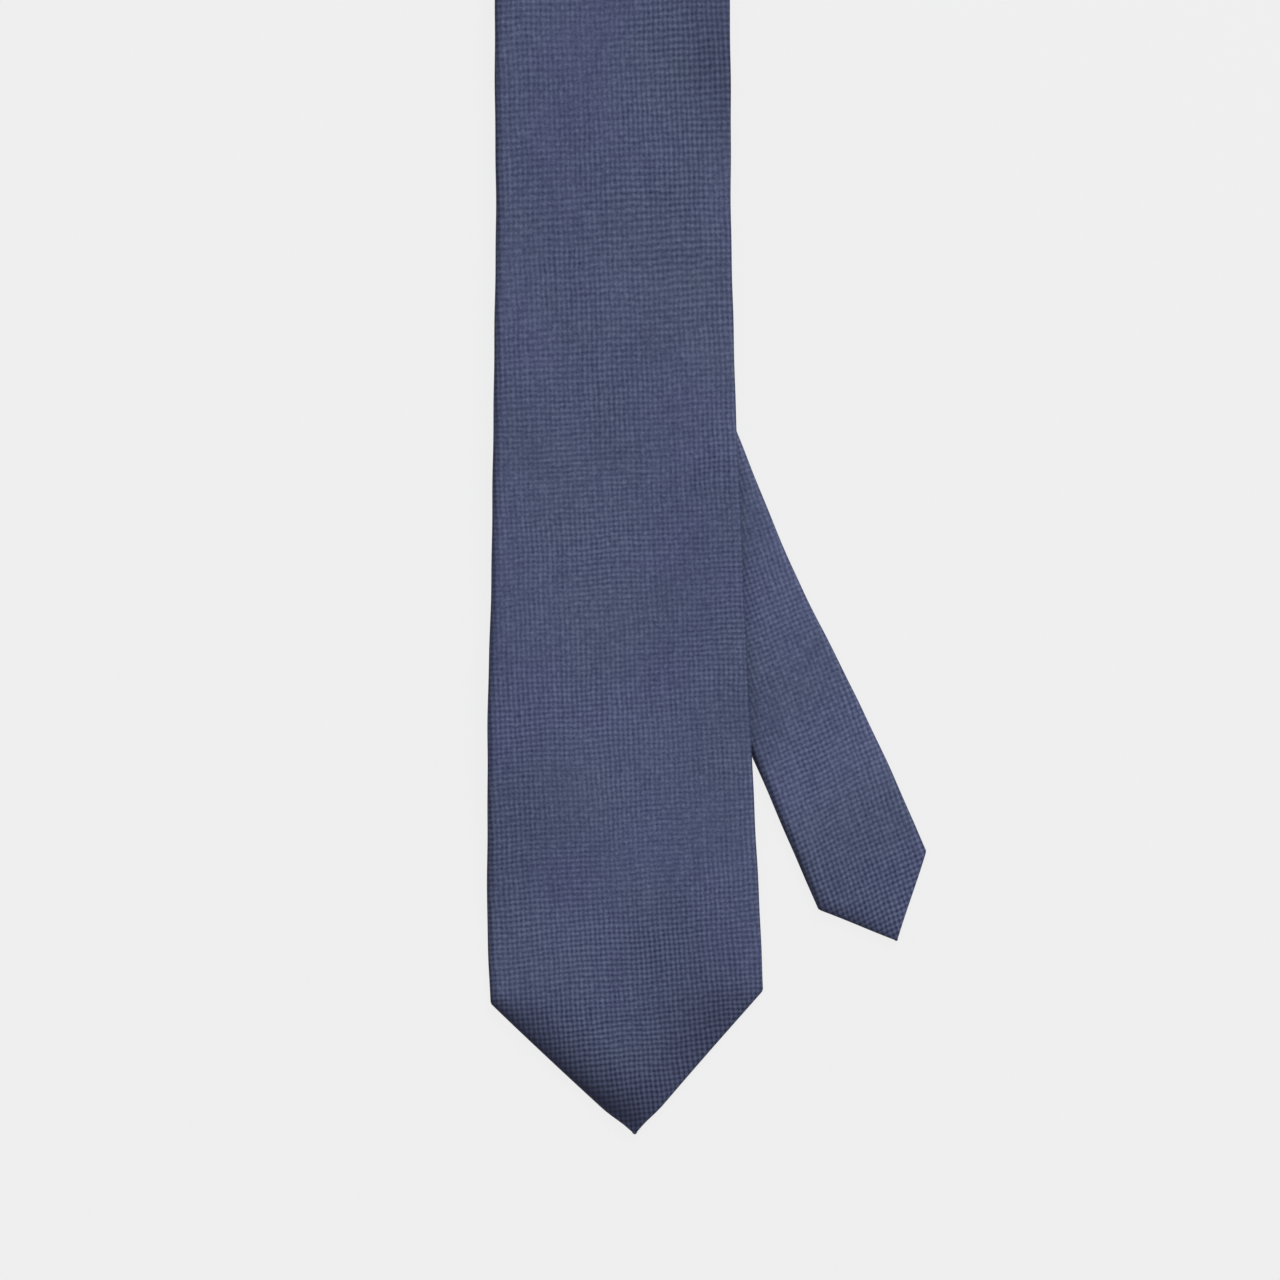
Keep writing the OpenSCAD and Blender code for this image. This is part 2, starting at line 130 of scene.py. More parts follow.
# The tail: its lean, its gentle turn, its outline, and places up it from its tip
TAIL_LEAN = joint_heading("tail_bend")
TAIL_UPPER_LEAN = 2 * REAR_HEADING - math.pi / 2
TAIL_STRAIGHT = 156.0
TAIL_TURN_RADIUS = 384.0
TAIL_TURN = TAIL_LEAN - TAIL_UPPER_LEAN
TAIL_TURN_END = TAIL_STRAIGHT + TAIL_TURN_RADIUS * TAIL_TURN
TAIL_END_HALF = 18.0
TAIL_HALF = 17.5
TAIL_POINT = 18.8
TAIL_TACK = 41.0
TAIL_BEND = 54.0
TAIL_SPLIT = 180.0
SWING_END, SWING_START = 189.0, 239.0
TAIL_TIP = joint_place("tail_bend")[:2] + TAIL_BEND * np.array(
    [math.sin(TAIL_LEAN), -math.cos(TAIL_LEAN)])

# The angle between each strip's run and the straight way across its fold, and the length of cloth
# that goes round the fold
FRONT_CROSS = math.pi - FRONT_HEADING
REAR_CROSS = REAR_HEADING - TAIL_UPPER_LEAN
ARC = math.pi * FOLD_RADIUS

# The studio, in metres but for the camera's sensor, which is in millimetres. The middle of the view
# is a little to the right of the front fold, and well up from the blade's tip.
FRAME_WIDTH = 0.3744
VIEW_FROM_FOLD, VIEW_FROM_TIP = 0.0086, 0.1448
VIEW_MIDDLE = np.array([FRONT_FOLD[0] * MM + VIEW_FROM_FOLD, BLADE_TIP_Y * MM + VIEW_FROM_TIP, 0.0])
CAMERA_HEIGHT = 1.6
SENSOR = 36.0
KEY_PLACE = (0.90, 1.60, 1.25)
KEY_SIZE = 1.1
KEY_POWER = 34.0
FLOOR_HALF = 3.0
FLOOR_DROP = 0.0002


def rise(t, start, end):
    """A smooth step from 0 at one place to 1 at another, which may be the lower of the two."""
    c = np.clip((t - start) / (end - start), 0.0, 1.0)
    return c * c * (3 - 2 * c)


def smallest(a, b, softness):
    """The lesser of two numbers, rounded where they cross."""
    low = np.minimum(a, b)
    return low - softness * np.log1p(np.exp(-np.abs(a - b) / softness))


def bump(t, width):
    """A smooth hill, 1 high at 0."""
    return np.exp(-((t / width) ** 2))


def heading(angle):
    return np.array([math.cos(angle), math.sin(angle)])


# Outlines, as half widths


def blade_waist(y):
    """How much the blade's left edge runs inside its even taper, as half of that distance."""
    return (0.33 * rise(y, 52, 112) + 0.24 * bump(y - 170, 28)) * rise(y, 340, 230)


def tail_waist(s):
    """The same for the right edge of the tail, where it comes out from under the blade."""
    return 0.85 * bump(s - 119, 38)


def outline(y, long_edge, slant, waves, softness, nib):
    """A strip's half width, from its long and slanting edges, the slight waves that real edges
    have, the softness of the corner, and the radius of the nib at its tip."""
    nib_half = np.sqrt(np.clip(nib**2 - (y - nib) ** 2, 0, None))
    return np.maximum(smallest(slant, long_edge, softness), nib_half) + waves


def blade_half(y):
    long_edge = (BLADE_HALF - blade_waist(y)
                 - (BLADE_HALF - BLADE_MIDDLE_HALF) * rise(y, BLADE_POINT, BLADE_POINT + 250)
                 - (BLADE_MIDDLE_HALF - NECK_HALF) * rise(y, BLADE_POINT + 270, BLADE_POINT + 650))
    slant = BLADE_HALF / BLADE_POINT * y + rise(y, 2, 8)
    waves = 0.07 * np.sin(y / 9.3 + 1) + 0.05 * np.sin(y / 3.7)
    waves = waves * rise(y, 30, 50) * rise(y, 640, 600)
    return outline(y, long_edge, slant, waves, softness=0.13, nib=0.8)


def tail_half(s):
    long_edge = (TAIL_HALF - tail_waist(s)
                 + (TAIL_END_HALF - TAIL_HALF) * rise(s, TAIL_POINT + 90, TAIL_POINT)
                 + (NECK_HALF - TAIL_HALF) * rise(s, TAIL_STRAIGHT, TAIL_STRAIGHT + 200))
    slant = TAIL_END_HALF / TAIL_POINT * s
    waves = 0.06 * np.sin(s / 7.1 + 2) + 0.04 * np.sin(s / 3.3)
    waves = waves * rise(s, 14, 26) * rise(s, 480, 440)
    return outline(s, long_edge, slant, waves, softness=0.12, nib=0.6)


def window(y, hem, corner, top):
    """How far apart the turned edges are behind a point, as half the opening's width."""
    below = (y - hem) * corner[0] / (corner[1] - hem)
    above = (top - y) * corner[0] / (top - corner[1])
    return np.maximum(smallest(below, above, corner[0] / 14), 0.0)


# Where a strip lies


def blade_bottom(y):
    """The height of the blade's underside, where it lies over the tail and then over the neck."""
    return BLADE_LIFT * rise(y, 40, 130) + (NECK_LIFT - BLADE_LIFT) * rise(y, 650, 708)


def wrap(x, y, z, n, fold, angle, cross, up):
    """Carries points that are past a fold's line round the fold, as round half of a small tube. up
    is 1 where the strip comes to the fold above its axis, and -1 below it. Also gives each point's
    turn, from 0 to 1. The cloth goes straight round the tube, so the strip runs on in one line
    when the joint opens, and it is drawn in towards the fold's edge, as both stretches' outlines
    are there."""
    along, outward = heading(angle), heading(angle - up * math.pi / 2)
    rx, ry = x - fold[0], y - fold[1]
    past = rx * outward[0] + ry * outward[1]
    turn = np.clip(past / FOLD_RADIUS, 0, math.pi)
    reach = (FOLD_RADIUS + up * n) * np.sin(turn) - np.maximum(past - ARC, 0)
    reach = np.where(past > 0, reach, past)
    t = rx * along[0] + ry * along[1] - math.tan(cross) * np.clip(past, 0, ARC)
    t = t * (1 - math.sin(cross) * np.maximum(reach, 0) / NECK_HALF)
    height = fold[2] + up * (FOLD_RADIUS + up * n) * np.cos(turn)
    return (fold[0] + t * along[0] + reach * outward[0],
            fold[1] + t * along[1] + reach * outward[1],
            np.where(past > 0, height, z), turn / math.pi)


def place_on_blade(w, y, n):
    """Points of the blade's strip in the frame, and each one's share of the blade's body, which
    is 1 before the front fold and 0 past it."""
    lean = BLADE_SWEEP / SWEEP_LENGTH * np.exp(-y / SWEEP_LENGTH)
    middle = FRONT_FOLD[0] + BLADE_SWEEP * np.exp(-y / SWEEP_LENGTH)
    middle = middle + blade_waist(y) + 0.25 * rise(y, 230, 310) * rise(y, 480, 380)
    fx = middle + w * np.cos(lean)
    fy = y + BLADE_TIP_Y + w * np.sin(lean)
    fz = blade_bottom(y) + THICK / 2 + n
    x, y, z, turn = wrap(fx, fy, fz, n, FRONT_FOLD, FRONT_HEADING, FRONT_CROSS, 1)
    return np.stack([x, y, z], axis=-1), 1 - turn


def tail_middle(s):
    """The tail's middle in plan, and its lean, for an array of places along it."""
    turn = np.clip((s - TAIL_STRAIGHT) / TAIL_TURN_RADIUS, 0, TAIL_TURN)
    x, y = np.full_like(s, TAIL_TIP[0]), np.full_like(s, TAIL_TIP[1])
    for length, lean in (
            (np.minimum(s, TAIL_STRAIGHT), np.full_like(s, TAIL_LEAN)),
            (2 * TAIL_TURN_RADIUS * np.sin(turn / 2), TAIL_LEAN - turn / 2),
            (np.maximum(s - TAIL_TURN_END, 0), np.full_like(s, TAIL_UPPER_LEAN))):
        x, y = x - length * np.sin(lean), y + length * np.cos(lean)
    return x, y, TAIL_LEAN - turn


TAIL_LENGTH = TAIL_TURN_END + (REAR_FOLD[1] - tail_middle(np.array(TAIL_TURN_END))[1]) / math.cos(
    TAIL_UPPER_LEAN)
TAIL_JOIN = TAIL_LENGTH - REAR_JOIN


def place_on_tail(w, s, n):
    """Points of the tail's strip in the frame, and each one's share of the neck's body, which is 0
    before the rear fold and 1 past it."""
    x, y, lean = tail_middle(s)
    middle = (0.3 + 0.45 * rise(s, 2, 16)) * rise(s, 105, 45) - tail_waist(s)
    reach = 0.5 * np.exp(-s / 15)
    slew = lean + 0.085 * rise(s, 110, 30)
    fx = x + middle * np.cos(lean) + reach * np.sin(lean) - w * np.cos(slew)
    fy = y + middle * np.sin(lean) - reach * np.cos(lean) - w * np.sin(slew)
    fz = THICK / 2 + n
    x, y, z, turn = wrap(fx, fy, fz, n, REAR_FOLD, REAR_HEADING, REAR_CROSS, -1)
    return np.stack([x, y, z], axis=-1), turn


def blade_painted_patches(w, y):
    """Broad patches of painted shade on the blade's front, several near its tip, and one patch of
    painted light.
    """
    tone = 0.08 * bump(y, 32)
    for patch_w, patch_y, reach, dark in (
            (36, 318, 22, 0.38), (15, 240, 28, 0.08), (9, 90, 18, -0.2), (10, 57, 12, 0.12),
            (22, 39, 14, 0.17)):
        tone = tone + dark * bump(np.hypot(w - patch_w, 0.8 * (y - patch_y)), reach)
    return tone


def tail_painted_light(w, s):
    """Painted light: the tail's front is made a little lighter above its point, and the same right
    across.
    """
    return -0.15 * rise(s, 34, 56)


# What the two strips have of their own. right is 1 where w grows to the photograph's right, and -1
# # where it grows to the left; both joins run up to the right at 45 degrees. At the back, window is
# # how far each turned edge stays from the middle, and lap how far it goes past it. nose is the
# # length that thins out to the tip. skew is how far the weave's two directions are out of square,
# # and dent is how deep the bar tack pulls in the back. The last three entries are painted shade and
# # light: how dark and how wide the painted shade along the roll of its left edge is; how dark the
# # painted shade is near a point's left edge, farther from it, and near its right edge; and the
# # broad patches of painted shade and painted light on its front.
BLADE = {
    "place": place_on_blade,
    "half": blade_half,
    "window": lambda y: window(y, hem=14.0, corner=(31.0, 45.0), top=115.0),
    "lap": lambda y: LAP * rise(y, 138, 154),
    "right": 1,
    "point": BLADE_POINT,
    "join": BLADE_JOIN,
    "tack": BLADE_TACK,
    "dent": 0.0,
    "nose": 2.2,
    "skew": (0.03, 0.045),
    "left": (0.8, 1.5),
    "slant_shade": (0.3, 0.6, 0.3),
    "tone": blade_painted_patches,
}
TAIL = {
    "place": place_on_tail,
    "half": tail_half,
    "window": lambda s: window(s, hem=10.0, corner=(9.0, 19.0), top=40.0),
    "lap": lambda s: LAP * rise(s, 47, 61),
    "right": -1,
    "point": TAIL_POINT,
    "join": TAIL_JOIN,
    "tack": TAIL_TACK,
    "dent": 0.3,
    "nose": 1.8,
    "skew": (0.096, 0.035),
    "left": (1.0, 2.0),
    "slant_shade": (0.45, 0.1, 0.0),
    "tone": tail_painted_light,
}


# Meshes


def make_object(name, verts, faces, material, uvs=None, shade=None):
    """A mesh object from points in metres. uvs and shade, the painted shading, have an entry for
    each point.
    """
    mesh = bpy.data.meshes.new(name)
    mesh.from_pydata(verts, [], faces)
    mesh.materials.append(material)
    if uvs is not None:
        layer = mesh.uv_layers.new(name="cloth")
        corners = np.zeros(len(mesh.loops), np.int32)
        mesh.loops.foreach_get("vertex_index", corners)
        layer.data.foreach_set("uv", uvs[corners].astype(np.float32).ravel())
    if shade is not None:
        mesh.attributes.new("painted_shading", "FLOAT", "POINT").data.foreach_set(
            "value", shade.astype(np.float32))
    mesh.polygons.foreach_set("use_smooth", np.ones(len(mesh.polygons), bool))
    mesh.set_sharp_from_angle(angle=math.radians(52))
    mesh.update()
    obj = bpy.data.objects.new(name, mesh)
    bpy.context.scene.collection.objects.link(obj)
    return obj


def shell(name, outer, inner, material, uv=None, shade=None):
    """A closed sheet between two matching grids of points, in millimetres."""
    grid_shape = outer.shape[:2]
    index = np.arange(np.prod(grid_shape)).reshape(grid_shape)
    count = index.size
    a, b, c, d = index[:-1, :-1], index[:-1, 1:], index[1:, 1:], index[1:, :-1]
    sheets = [np.stack([a, d, c, b], -1).reshape(-1, 4),
              np.stack([a, b, c, d], -1).reshape(-1, 4) + count]
    rim = np.concatenate([index[0, :], index[1:, -1], index[-1, -2::-1], index[-2:0:-1, 0]])
    following = np.roll(rim, -1)
    sheets.append(np.stack([rim, following, following + count, rim + count], -1))
    verts = np.concatenate([outer.reshape(-1, 3), inner.reshape(-1, 3)]) * MM
    uvs = None if uv is None else np.concatenate([uv.reshape(-1, 2)] * 2)
    painted_shades = None if shade is None else np.concatenate([shade.ravel()] * 2)
    return make_object(name, verts, np.concatenate(sheets).tolist(), material, uvs, painted_shades)


def spread(*spans):
    """Places from one number to the next at a chosen spacing, over several spans."""
    parts = [np.linspace(low, high, max(2, round(abs(high - low) / step) + 1))[:-1]
             for low, high, step in spans]
    return np.concatenate(parts + [[spans[-1][1]]])


# The silk sleeve's cross-section: the turned flap at the back, the roll under the edge, the roll
# over it, and half of the front
FLAP_STEPS, UNDER_STEPS, OVER_STEPS, FRONT_STEPS = 12, 6, 10, 23
UNDER_ROLL, OVER_ROLL = 1.2, 2.3
SILK_RISE = (THICK - SILK) / 2
ROUNDS = 5


def half_section(strip, y):
    """One side of the sleeve, from its turned edge at the back to the middle of the front, for a
    grid of places with a column for each station. Gives distances from the strip's middle line,
    and heights from -1 at the back to 1 at the front."""
    steps = np.linspace(0, 1, FLAP_STEPS, endpoint=False)
    under = np.linspace(0, math.pi / 2, UNDER_STEPS, endpoint=False)
    over = np.linspace(0, math.pi / 2, OVER_STEPS, endpoint=False)
    front = np.linspace(0, 1, FRONT_STEPS)
    a, b, c = np.cumsum([FLAP_STEPS, UNDER_STEPS, OVER_STEPS])
    half = strip["half"](y)
    edge = np.maximum(strip["window"](y), 0.03) - strip["lap"](y)
    slanting = 1 - rise(y, strip["point"], strip["point"] + 8)
    under_roll = np.minimum(UNDER_ROLL, 0.4 * half)
    over_roll = np.minimum(OVER_ROLL * (1 + 0.35 * slanting), 0.45 * half)
    low_inset = half - SILK / 2 - under_roll
    top_inset = half - SILK / 2 - over_roll
    w, n = np.empty_like(y), np.empty_like(y)
    edge = np.minimum(edge, low_inset)
    w[:, :a] = edge[:, :a] + (low_inset - edge)[:, :a] * steps
    n[:, :a] = -1
    w[:, a:b] = low_inset[:, a:b] + under_roll[:, a:b] * np.sin(under)
    n[:, a:b] = -np.cos(under)
    w[:, b:c] = top_inset[:, b:c] + over_roll[:, b:c] * np.cos(over)
    n[:, b:c] = np.sin(over)
    w[:, c:] = top_inset[:, c:] * (1 - front)
    n[:, c:] = 1 - 0.07 * (w[:, c:] / half[:, c:]) ** 4
    return w, n


def swell(w, y):
    """Soft unevenness of the front, from about 0 to 1. It dies out before the neck."""
    waves = (np.sin(y / 17 + w / 23 + 1) + np.sin(y / 9.4 - w / 15 + 2.2)
             + np.sin(y / 31 - w / 11) + 0.7 * np.sin(w / 7.5 + y / 43))
    return (0.5 + waves / 7.6) * rise(y, 640, 580)


def sleeve(strip, start, slope):
    """The silk's two faces for rows that start at a place and slope across the strip, with each
    point's place on the cloth and its painted shading. A sloping row's width depends on where it
    gets to, so it is found in a few rounds."""
    columns = 2 * (FLAP_STEPS + UNDER_STEPS + OVER_STEPS + FRONT_STEPS) - 1
    middle = columns // 2
    start, slope = start[:, None], slope[:, None]
    y = np.repeat(start, columns, axis=1)
    for _ in range(ROUNDS):
        left_w, left_n = half_section(strip, y[:, :middle + 1])
        right_w, right_n = half_section(strip, y[:, :middle - 1:-1])
        w = np.concatenate([-left_w, right_w[:, -2::-1]], axis=1)
        n = np.concatenate([left_n, right_n[:, -2::-1]], axis=1)
        y = start + slope * w
    half = strip["half"](y)
    nose = np.sqrt(np.clip(1 - (1 - np.clip(y / strip["nose"], 0, 1)) ** 2, 0.05, 1))
    groove = 1 - 0.2 * bump(y - strip["join"] - strip["right"] * w, 0.7)
    n = n * SILK_RISE * groove
    n += np.where(n > 0, n / SILK_RISE, 0) * 0.2 * swell(w, y) * rise(half - np.abs(w), 0, 9)
    closed = rise(strip["lap"](y), 0, LAP)
    under = np.arange(columns) >= columns - FLAP_STEPS
    n += np.where(under, LAP_LIFT * closed * rise(w, LAP + 4.5, LAP + 1), 0)
    n += strip["dent"] * bump(y - strip["tack"], 2.6) * bump(w, 5.5) * (n < 0)
    n = n * nose - 0.5 * SILK_RISE * (1 - nose)
    tw, tn = np.gradient(w, axis=1), np.gradient(n, axis=1)
    size = np.maximum(np.hypot(tw, tn), 1e-9)
    reach = SILK / 2 * nose
    faces = [strip["place"](w - side * tn / size * reach, y, n + side * tw / size * reach)
             for side in (1, -1)]
    return faces, cloth_places(strip, w, y, n), painted_shading(strip, w, y, n, half)


def cloth_places(strip, w, y, n):
    """Where each point is on the flat cloth. Silk turned in over a point's slanting edge comes
    back at an angle to the rest, so its weave is mirrored in that edge."""
    along = np.cumsum(np.hypot(np.diff(w, axis=1, prepend=w[:, :1]),
                               np.diff(n, axis=1, prepend=n[:, :1])), axis=1)
    middle = w.shape[1] // 2
    along = along - along[:, middle:middle + 1]
    fold = FLAP_STEPS + UNDER_STEPS
    turned = np.minimum(along - along[:, fold:fold + 1], 0)
    turned = turned + np.minimum(along[:, -1 - fold, None] - along, 0)
    turned = np.where(y < strip["point"], turned, 0)
    slope = math.atan2(strip["half"](strip["point"]), strip["point"])
    return np.stack([along + np.sign(along) * turned * 2 * math.sin(slope) ** 2,
                     y + turned * math.sin(2 * slope)], axis=-1)


# How far the nearest slanting edge is, as a share of the way to it straight across the strip; and
# a distance at which an edge does nothing
TO_SLANT = 0.71
FAR_OFF = 99


def painted_shading(strip, w, y, n, half):
    """Painted shading at each point: how much darker its colour is made, where 1 is black and less
    than 0 is lighter. On the front it is painted shade along the rolled edges, most on the left,
    and near a point's slanting edges, with the strip's broad patches of painted shade and painted
    light; at the back it is painted shade along the edges."""
    across = w * strip["right"]
    depth = np.clip(half - np.abs(w), 0, None) * np.where(y < strip["point"], TO_SLANT, 1)
    slanting = 1 - rise(y, strip["point"] - 5, strip["point"] + 5)
    left_dark, left_width = strip["left"]
    # Painted shade along the roll of the left edge, and a narrower one along the right edge, away
    # from the points
    left = left_dark * bump(np.where(across < 0, depth, FAR_OFF), left_width)
    right = 0.45 * bump(np.where(across > 0, depth, FAR_OFF), 0.5)
    to_left, to_right = TO_SLANT * (half + across), TO_SLANT * (half - across)
    near_left, far_left, near_right = strip["slant_shade"]
    # Painted shade near a point's slanting edges, most near the left one, and at its rolled rim
    slant_shade = (near_left * bump(to_left, 3.2) + far_left * bump(to_left, 10)
            + near_right * bump(to_right, 16))
    rim = np.where(across < 0, 0.6, 0.25) * bump(depth, 0.6)
    # The strip's broad patches of painted shade and painted light are added, with a little less
    # painted shade at the very tip
    front = (left + right) * (1 - slanting) + (slant_shade + rim) * slanting + strip["tone"](w, y)
    front = np.minimum(front, 1) * (1 - 0.25 * bump(y, 6))
    # Painted shade along the edges at the back
    back = 0.5 * bump(half - np.abs(w), 0.8)
    return np.where(n > 0, front, back)


def weave_coordinates(cloth, lean, drift):
    """Places counted in the weave's cells, across and along the cloth. lean and drift skew the
    two directions, and the cells are longer above a certain place."""
    u, v = cloth[..., 0], cloth[..., 1]
    longer = v - WEAVE_CHANGE - smallest(v - WEAVE_CHANGE, 0.0, 8.0)
    cells = (v - drift * u - (1 - CELL_LONG / CELL_LONGER) * longer) / CELL_LONG
    return np.stack([(u + lean * v) / CELL, cells], axis=-1)


def silk_panel(name, strip, start, slope, material):
    """A panel of silk over a run of rows, and its points' shares of a fold's second body."""
    ((outer, share), (inner, inner_share)), cloth, shade = sleeve(strip, start, slope)
    obj = shell(name, outer, inner, material, weave_coordinates(cloth, *strip["skew"]), shade)
    return obj, np.concatenate([share.ravel(), inner_share.ravel()])


def slab(name, strip, start, slope, inset, bottom, top, material, ripple=0.0, steps=21):
    """A flat layer inside a sleeve, rounded off at its long edges, and its points' shares."""
    across = np.sin(np.linspace(-math.pi / 2, math.pi / 2, steps))
    start, slope = start[:, None], slope[:, None]
    y = np.repeat(start, steps, axis=1)
    for _ in range(ROUNDS):
        slanting = 1 - rise(y, strip["point"], strip["point"] + 6)
        w = across * np.maximum(strip["half"](y) - inset * (1 + 0.41 * slanting), 0.4)
        y = start + slope * w
    middle, thick = (bottom + top) / 2, (top - bottom) / 2
    round_off = np.sqrt(np.clip(1 - np.abs(across) ** 24, 0.05, 1))
    middle = middle + ripple * np.sin(y / 1.9 + w / 3) * np.abs(across) ** 3
    (upper, share), (lower, lower_share) = (
        strip["place"](w, y, middle + side * thick * round_off) for side in (1, -1))
    obj = shell(name, upper, lower, material, np.stack([w, y], axis=-1))
    return obj, np.concatenate([share.ravel(), lower_share.ravel()])


def threads(name, paths, radius, material, sides=8):
    """Short lengths of sewing thread, each along its own path of points in millimetres."""
    verts, faces, uvs = [], [], []
    ring = np.linspace(0, 2 * math.pi, sides, endpoint=False)
    for path in paths:
        path = np.asarray(path, float)
        count = len(path)
        tangent = np.gradient(path, axis=0)
        tangent /= np.linalg.norm(tangent, axis=1, keepdims=True)
        aside = np.cross(tangent, [0.13, 0.21, 1.0])
        aside /= np.linalg.norm(aside, axis=1, keepdims=True)
        upward = np.cross(aside, tangent)
        size = radius * np.sqrt(np.sin(np.linspace(0.12, math.pi - 0.12, count)))
        first = sum(map(len, verts))
        points = (path[:, None] + size[:, None, None] * (
            aside[:, None] * np.cos(ring)[None, :, None]
            + upward[:, None] * np.sin(ring)[None, :, None]))
        verts.append(points.reshape(-1, 3))
        length = np.concatenate([[0], np.cumsum(np.linalg.norm(np.diff(path, axis=0), axis=1))])
        uvs.append(np.stack(np.meshgrid(ring / (2 * math.pi), length), -1).reshape(-1, 2))
        for i in range(count - 1):
            for j in range(sides):
                k = (j + 1) % sides
                a, b = first + i * sides, first + (i + 1) * sides
                faces.append((a + j, a + k, b + k, b + j))
        faces.append(tuple(first + j for j in range(sides))[::-1])
        faces.append(tuple(first + (count - 1) * sides + j for j in range(sides)))
    return make_object(name, np.concatenate(verts) * MM, faces, material, np.concatenate(uvs))


def on_strip(strip, points):
    """A path of (w, y, n) points on a strip, as points in the frame."""
    w, y, n = np.asarray(points, float).T
    return strip["place"](w, y, n)[0]


def bar_tack(strip, y, depth, length=7.0, width=1.6, turns=20):
    """Thread wound closely over a short bar across the strip's middle."""
    paths = []
    for i in range(turns):
        w = (i / (turns - 1) - 0.5) * (length - 0.4)
        lean = 0.16 * math.sin(i * 2.4)
        swing = np.linspace(-1, 1, 9)
        paths.append(on_strip(strip, [
            (w + lean * t, y + width / 2 * t, depth + 0.22 * t**4) for t in swing]))
    for side in (-0.35, 0.35):
        paths.append(on_strip(strip, [
            (w, y + side, depth + 0.12) for w in np.linspace(-length / 2, length / 2, 7)]))
    return paths


def slip_stitches(strip, low, high, pitch=9.0):
    """Small slanting stitches from under the lapped edge onto the silk below it."""
    shape = [(-0.3, 0.0, -0.86), (0.15, 0.2, -1.02), (0.6, 0.7, -1.04), (1.1, 1.2, -1.02),
             (1.5, 1.6, -0.96), (1.8, 1.9, -0.80)]
    return [on_strip(strip, [(LAP + a, y + b + 0.3 * math.sin(y), n) for a, b, n in shape])
            for y in np.arange(low, high, pitch)]


def hem_stitches(strip, low, high, pitch):
    """Small stitches that hold the turned silk to the lining round the back's opening."""
    shape = [(0.35, -0.98), (0.05, -1.16), (-0.4, -1.08), (-0.9, -0.96), (-1.3, -0.72)]
    paths = []
    for y in np.arange(low, high, pitch):
        edge = float(strip["window"](np.array(y)))
        for side in (-1, 1):
            paths.append(on_strip(strip, [
                (side * (edge + a), y + 0.25 * i, n) for i, (a, n) in enumerate(shape)]))
    return paths


def join_stitches(strip, pitch=2.5):
    """Machine stitches across a diagonal join, seen deep in its groove on both sides. At the back
    there are none under the lap."""
    right, join = strip["right"], strip["join"]
    return [on_strip(strip, [(w - right * t, join + right * w + t, n * (1 - 0.35 * t * t))
                             for t in np.linspace(-0.6, 0.6, 7)])
            for w in np.arange(-15, 15.1, pitch) for n in (1.06, -1.06)
            if n > 0 or abs(w) >= LAP + 2]


# Materials


class Material:
    """A node material with a Principled shader, and short ways to add nodes to it. A value that a
    node takes is a number, a colour, or another node's output."""

    def __init__(self, name, **shader):
        self.material = bpy.data.materials.new(name)
        self.material.use_nodes = True
        self.tree = self.material.node_tree
        self.shader = self.tree.nodes["Principled BSDF"]
        for socket, value in shader.items():
            self.shader.inputs[socket.replace("_", " ")].default_value = value

    def put(self, value, socket):
        if isinstance(value, bpy.types.NodeSocket):
            self.tree.links.new(value, socket)
        elif value is not None:
            socket.default_value = value

    def node(self, kind, inputs=(), **settings):
        made = self.tree.nodes.new("ShaderNode" + kind)
        for key, value in settings.items():
            setattr(made, key, value)
        for key, value in dict(inputs).items():
            self.put(value, made.inputs[key])
        return made

    def math(self, operation, a, b=None, c=None):
        made = self.node("Math", operation=operation)
        for value, socket in zip((a, b, c), made.inputs):
            self.put(value, socket)
        return made.outputs[0]

    def mix(self, factor, a, b, blend="MIX"):
        made = self.node("Mix", data_type="RGBA", blend_type=blend)
        for value, index in ((factor, 0), (a, 6), (b, 7)):
            self.put(value, made.inputs[index])
        return made.outputs[2]

    def scale(self, value, low, high):
        made = self.node("MapRange", {"Value": value, "To Min": low, "To Max": high})
        return made.outputs[0]

    def noise(self, scale, detail=2.0, vector=None, roughness=0.5, output="Fac"):
        made = self.node("TexNoise", {"Scale": scale, "Detail": detail, "Roughness": roughness,
                                      "Vector": vector or self.place()})
        return made.outputs[output]

    def place(self):
        return self.node("TexCoord").outputs["Object"]

    def vector(self, x, y):
        return self.node("CombineXYZ", {"X": x, "Y": y}).outputs[0]

    def cloth(self):
        """The two coordinates across and along the cloth."""
        apart = self.node("SeparateXYZ", {"Vector": self.node("UVMap", uv_map="cloth").outputs[0]})
        return apart.outputs[0], apart.outputs[1]

    def finish(self, color, roughness, height, distance, strength):
        self.put(color, self.shader.inputs["Base Color"])
        self.put(roughness, self.shader.inputs["Roughness"])
        made = self.node("Bump", {"Height": height, "Distance": distance, "Strength": strength})
        self.put(made.outputs[0], self.shader.inputs["Normal"])
        return self.material


def color(r, g, b):
    return (r, g, b, 1.0)


def wandering_cells(m):
    """The weave's coordinates, one unit to a cell, which wander a little as real threads do."""
    u, v = m.cloth()
    for scale, reach_u, reach_v in ((55.0, 1.1, 1.5), (260.0, 0.25, 0.3)):
        wander = m.node("SeparateXYZ", {"Vector": m.noise(scale, 2.0, output="Color")})
        u = m.math("MULTIPLY_ADD", wander.outputs[0], reach_u, u)
        v = m.math("MULTIPLY_ADD", wander.outputs[1], reach_v, v)
    return u, v


